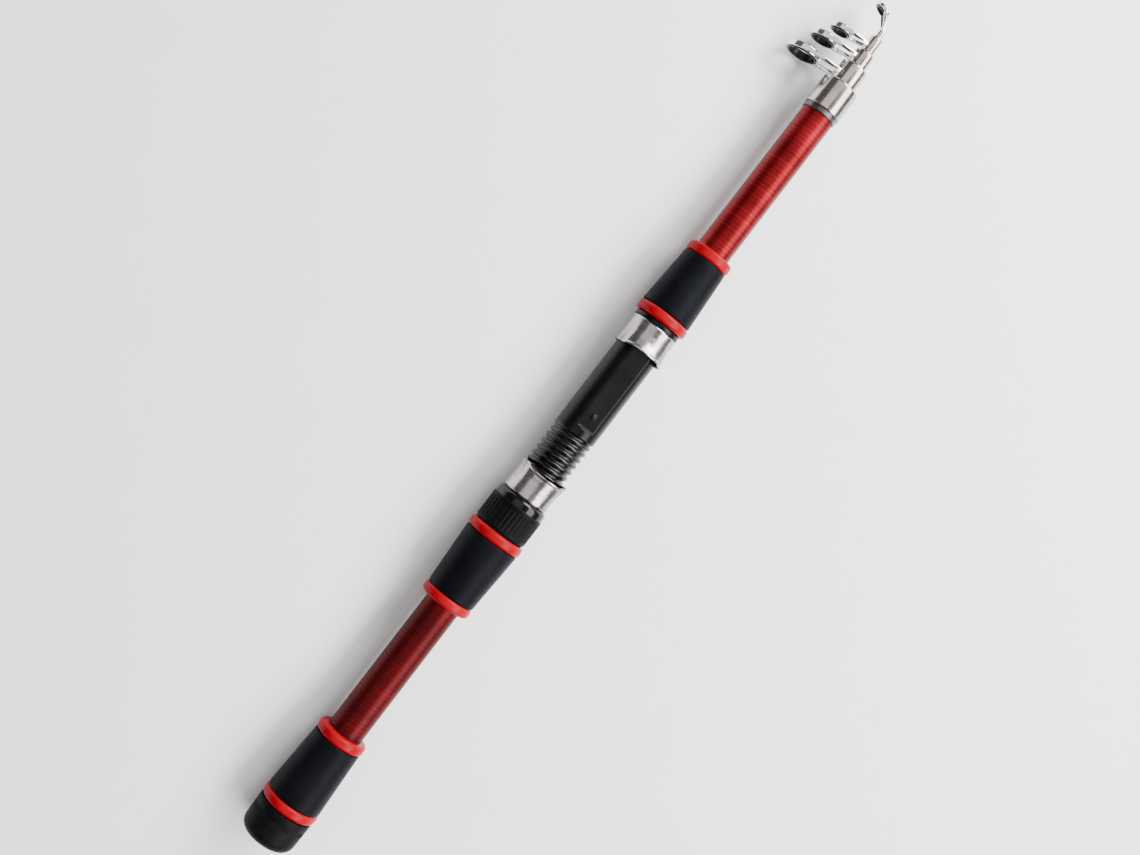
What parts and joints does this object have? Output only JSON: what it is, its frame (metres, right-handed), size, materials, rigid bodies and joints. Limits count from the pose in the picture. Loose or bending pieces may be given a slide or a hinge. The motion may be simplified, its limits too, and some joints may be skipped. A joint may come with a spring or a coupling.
{
  "type": "telescopic fishing rod",
  "caption": "Closed telescopic spinning rod with foam grips, red trim rings, a screw-down hood reel seat and nested sections that carry black ringed line guides.",
  "frame": {"origin": "centre of the butt cap's end face, on the rod's axis", "axes": "+X along the rod's axis towards the tip, +Z the outward normal of the reel saddle, +Y the side that the line guides hang on"},
  "size_m": [0.4472, 0.0425, 0.0276],
  "materials": {
    "cap_rubber": "matte black rubber",
    "insert_metal": "machined and dyed",
    "cushion_rubber": "matte, slightly open",
    "ferrule_metal": "machined",
    "red_blank": "clear-coated deep red over wound glass fibre",
    "foam_grip": "fine closed-cell foam, matte",
    "red_trim": "bright red lacquer",
    "seat_plastic": "moulded, semi-gloss",
    "nut_plastic": "moulded, satin, polished nose",
    "hood_steel": "polished stainless steel",
    "spring_wire": "drawn spring wire",
    "black_band": "lacquered thread winding",
    "collar_nickel": "satin nickel, turned",
    "guide_steel": "polished",
    "guide_ceramic": "polished black ceramic"
  },
  "bodies": {
    "butt_section": {"butt_ferrule": "ferrule_metal", "butt_blank": "red_blank", "rear_grip": "foam_grip", "rear_grip_lower_ring": "red_trim", "rear_grip_upper_ring": "red_trim", "mid_grip": "foam_grip", "mid_grip_lower_ring": "red_trim", "mid_grip_upper_ring": "red_trim", "reel_seat_body": "seat_plastic", "fixed_hood": "hood_steel", "fixed_hood_liner": "seat_plastic", "seat_end_ring": "seat_plastic", "fore_grip": "foam_grip", "fore_grip_lower_ring": "red_trim", "fore_grip_upper_ring": "red_trim", "collar_band": "black_band", "butt_collar": "collar_nickel"},
    "cushion": {"cushion_pad": "cushion_rubber"},
    "cap": {"butt_cap": "cap_rubber", "cap_insert": "insert_metal"},
    "hood_carriage": {"sliding_hood": "hood_steel", "sliding_hood_liner": "seat_plastic", "hood_clip_ring": "spring_wire"},
    "nut": {"lock_nut": "nut_plastic"},
    "section_2": {"section_2_blank": "red_blank", "section_2_collar": "collar_nickel", "section_2_guide_frame": "guide_steel", "section_2_guide_ring": "guide_ceramic"},
    "section_3": {"section_3_blank": "red_blank", "section_3_collar": "collar_nickel", "section_3_guide_frame": "guide_steel", "section_3_guide_ring": "guide_ceramic"},
    "section_4": {"section_4_blank": "red_blank", "section_4_collar": "collar_nickel", "section_4_guide_frame": "guide_steel", "section_4_guide_ring": "guide_ceramic"},
    "tip_section": {"tip_blank": "red_blank", "tip_tube": "guide_steel", "tip_guide_frame": "guide_steel", "tip_guide_ring": "guide_ceramic"}
  },
  "joints": [
    {"name": "hood_slide", "type": "slide", "parent": "butt_section", "child": "hood_carriage", "axis": [1, 0, 0], "range_m": [0, 0.02]},
    {"name": "nut_spin", "type": "hinge", "parent": "hood_carriage", "child": "nut", "pos_m": [0.1757, 0, 0], "axis": [1, 0, 0], "range_deg": [0, 2251]},
    {"name": "cap_draw", "type": "slide", "parent": "butt_section", "child": "cushion", "axis": [-1, 0, 0], "range_m": [0, 0.012]},
    {"name": "cap_spin", "type": "hinge", "parent": "cushion", "child": "cap", "pos_m": [0.0084, 0, 0], "axis": [-1, 0, 0], "range_deg": [0, 2161]},
    {"name": "section_2_slide", "type": "slide", "parent": "butt_section", "child": "section_2", "axis": [1, 0, 0], "range_m": [0, 0.3298]},
    {"name": "section_3_slide", "type": "slide", "parent": "section_2", "child": "section_3", "axis": [1, 0, 0], "range_m": [0, 0.3439]},
    {"name": "section_4_slide", "type": "slide", "parent": "section_3", "child": "section_4", "axis": [1, 0, 0], "range_m": [0, 0.3554]},
    {"name": "tip_slide", "type": "slide", "parent": "section_4", "child": "tip_section", "axis": [1, 0, 0], "range_m": [0, 0.3673]}
  ],
  "couplings": [
    {"joint": "nut_spin", "follows": "hood_slide", "rad_per_m": 1963.5},
    {"joint": "cap_spin", "follows": "cap_draw", "rad_per_m": 3141.6}
  ]
}
